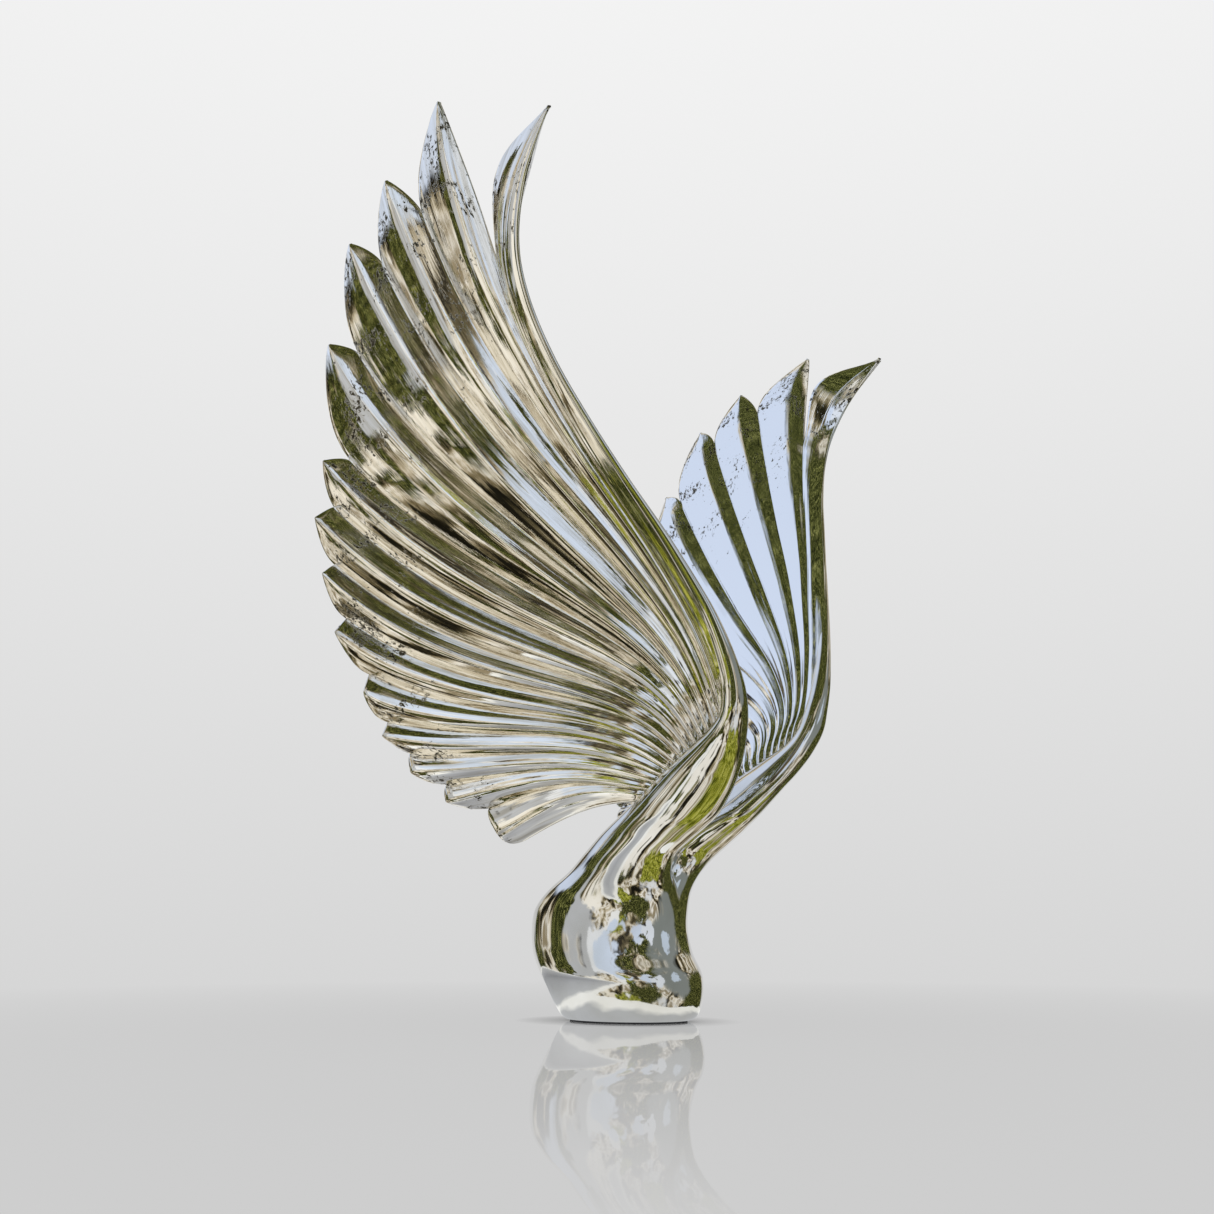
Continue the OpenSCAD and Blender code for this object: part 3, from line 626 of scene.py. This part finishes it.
class OrnamentWingSettings(bpy.types.PropertyGroup):
    """Sizes of the feather blades."""
    tip_curl: bpy.props.FloatProperty(name="Tip curl", description="Forward curl of the leading feather",
                                      default=.009, unit="LENGTH")
    tip_flare: bpy.props.FloatProperty(name="Tip flare", description="Outward flare of the second feather",
                                       default=.004, unit="LENGTH")
    lead_half: bpy.props.FloatProperty(name="Leading half width", description="Leading feather ahead of its keel",
                                       default=.0046, unit="LENGTH")
    tail_fullness: bpy.props.FloatProperty(name="Tail fullness", description="Fullness of the lowest edge",
                                           default=.0036, unit="LENGTH")
    valley_depth: bpy.props.FloatProperty(name="Valley depth", description="Deepest valley between two keels",
                                          default=.0036, unit="LENGTH")
    edge_thickness: bpy.props.FloatProperty(name="Edge thickness", description="Blade edge at its tip",
                                            default=.0009, unit="LENGTH")
    root_thickness: bpy.props.FloatProperty(name="Root thickness", description="Extra blade thickness at its root",
                                            default=.0026, unit="LENGTH")
    keel_round: bpy.props.FloatProperty(name="Keel rounding",
                                        description="Rounding of the keel, as a share of the half width",
                                        default=.07, min=.01, max=.5)
    facet_crown: bpy.props.FloatProperty(name="Facet crown",
                                         description="Crown of each facet, as a share of the half width",
                                         default=.03, min=-.1, max=.2)
    flute: bpy.props.FloatProperty(name="Flutes",
                                   description="Height of the hand worked flutes, as a share of the half width",
                                   default=.02, min=0, max=.1)
    end_roll: bpy.props.FloatProperty(name="End roll",
                                      description="Part of the length over which a rounded end turns in",
                                      default=.07, min=.01, max=.3)
    root_neck: bpy.props.FloatProperty(name="Root neck",
                                       description="Size of a blade where it enters the arm, as a share",
                                       default=.3, min=.1, max=1)
    inner_ridge: bpy.props.FloatProperty(name="Inner ridge",
                                         description="Height of the inside ridge, as a share of the half width",
                                         default=.22, min=0, max=.6)


class OrnamentBodySettings(bpy.types.PropertyGroup):
    """Mesh density of the foot, neck and arms."""
    rings: bpy.props.IntProperty(name="Rings", description="Rings from the cavity to the arm tops", default=300)
    sides: bpy.props.IntProperty(name="Sides", description="Steps round each half", default=56)


class OrnamentStageSettings(bpy.types.PropertyGroup):
    """Camera."""
    lens: bpy.props.FloatProperty(name="Lens", description="Focal length in millimetres", default=38.55)
    azimuth: bpy.props.FloatProperty(name="Azimuth", description="Camera heading", default=math.radians(37.6),
                                     subtype="ANGLE")
    pitch: bpy.props.FloatProperty(name="Pitch", description="Camera tilt upwards", default=math.radians(14.4),
                                   subtype="ANGLE")


class ORNAMENT_OT_body(bpy.types.Operator):
    """Build the foot, neck and arms as one smooth casting"""
    bl_idname = "ornament.body"
    bl_label = "Foot, neck and arms"

    def execute(self, context):
        half = body_points(context.scene.ornament_body)
        other = half * np.array([1, -1, 1])
        open_ends = (False, False)
        obj = mesh_from_grid("foot_neck_and_arms", [(half, False, open_ends), (other[:, ::-1], False, open_ends)],
                             merge=WELD)
        finish_piece(obj, "casting", chrome_plated_casting(), "stem_casting", "left_arm", "right_arm")
        return {"FINISHED"}


class ORNAMENT_OT_feathers(bpy.types.Operator):
    """Build the twenty-eight feather blades"""
    bl_idname = "ornament.feathers"
    bl_label = "Feather blades"

    def execute(self, context):
        wing = context.scene.ornament_wing
        material = chrome_plated_feather()
        for side, word in ((1, "left"), (-1, "right")):
            for i in range(BLADES):
                node = f"{word}_feather_{i + 1:02d}"
                ring, marks = blade_points(i, side, wing)
                obj = mesh_from_grid(node + "_blade", [(ring, True, (True, True))])
                for name, mark in marks.items():
                    kind = ("FLOAT_VECTOR", "vector") if mark.ndim == 3 else ("FLOAT", "value")
                    attribute = obj.data.attributes.new(name, kind[0], "POINT")
                    attribute.data.foreach_set(kind[1], mark.ravel())
                low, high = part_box(node)
                spread = np.abs(np.array([ring.reshape(-1, 3).min(0), ring.reshape(-1, 3).max(0)]) * MM
                                - np.array([low, high])).max()
                if spread > BOX_TOLERANCE * MM:
                    raise ValueError(f"{node} is {spread / MM:.1f} mm off its place in the frame")
                finish_piece(obj, "feather", material, node)
        return {"FINISHED"}


class ORNAMENT_OT_hardware(bpy.types.Operator):
    """Finish the pad, base plate, screws and studs"""
    bl_idname = "ornament.hardware"
    bl_label = "Mounting hardware"

    def execute(self, context):
        steel, rubber = zinc_plated_steel(), moulded_rubber()
        for node, material in (("mounting_pad", rubber), ("base_plate", steel), ("base_plate_screws", steel),
                               ("left_arm_stud", steel), ("right_arm_stud", steel)):
            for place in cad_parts[node].material_slots:
                place.material = material
        return {"FINISHED"}


class ORNAMENT_OT_stage(bpy.types.Operator):
    """Set the floor, the mirrored surroundings and the camera"""
    bl_idname = "ornament.stage"
    bl_label = "Stage"

    def execute(self, context):
        scene = context.scene
        stage = scene.ornament_stage
        data = bpy.data.cameras.new("camera")
        data.lens = stage.lens
        data.sensor_width = CAMERA_SENSOR
        data.clip_start = .01
        camera = bpy.data.objects.new("camera", data)
        scene.collection.objects.link(camera)
        psi, theta = stage.azimuth, stage.pitch
        ahead = np.array([-math.sin(psi) * math.cos(theta), math.cos(psi) * math.cos(theta), math.sin(theta)])
        right = np.array([math.cos(psi), math.sin(psi), 0])
        up = np.cross(right, ahead)
        matrix = np.eye(4)
        matrix[:3, :3] = np.stack([right, up, -ahead], axis=1)
        matrix[:3, 3] = CAMERA_EYE
        camera.matrix_world = Matrix(matrix.tolist())
        scene.camera = camera
        surroundings(scene)
        floor()
        scene.view_settings.view_transform = "Standard"
        return {"FINISHED"}


class ORNAMENT_PT_panel(bpy.types.Panel):
    """Lists the ornament's pieces"""
    bl_idname = "ORNAMENT_PT_panel"
    bl_label = "Hood ornament"
    bl_space_type = "VIEW_3D"
    bl_region_type = "UI"
    bl_category = "Ornament"

    def draw(self, context):
        for name in STEPS:
            self.layout.operator("ornament." + name)


STEPS = ("body", "feathers", "hardware", "stage")
CLASSES = (OrnamentWingSettings, OrnamentBodySettings, OrnamentStageSettings, ORNAMENT_OT_body, ORNAMENT_OT_feathers,
           ORNAMENT_OT_hardware, ORNAMENT_OT_stage, ORNAMENT_PT_panel)


def register():
    for cls in CLASSES:
        bpy.utils.register_class(cls)
    bpy.types.Scene.ornament_wing = bpy.props.PointerProperty(type=OrnamentWingSettings)
    bpy.types.Scene.ornament_body = bpy.props.PointerProperty(type=OrnamentBodySettings)
    bpy.types.Scene.ornament_stage = bpy.props.PointerProperty(type=OrnamentStageSettings)


def unregister():
    del bpy.types.Scene.ornament_stage, bpy.types.Scene.ornament_body, bpy.types.Scene.ornament_wing
    for cls in reversed(CLASSES):
        bpy.utils.unregister_class(cls)


def main():
    """Registers the add-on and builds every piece."""
    register()
    for name in STEPS:
        getattr(bpy.ops.ornament, name)()


if __name__ == "__main__":
    main()
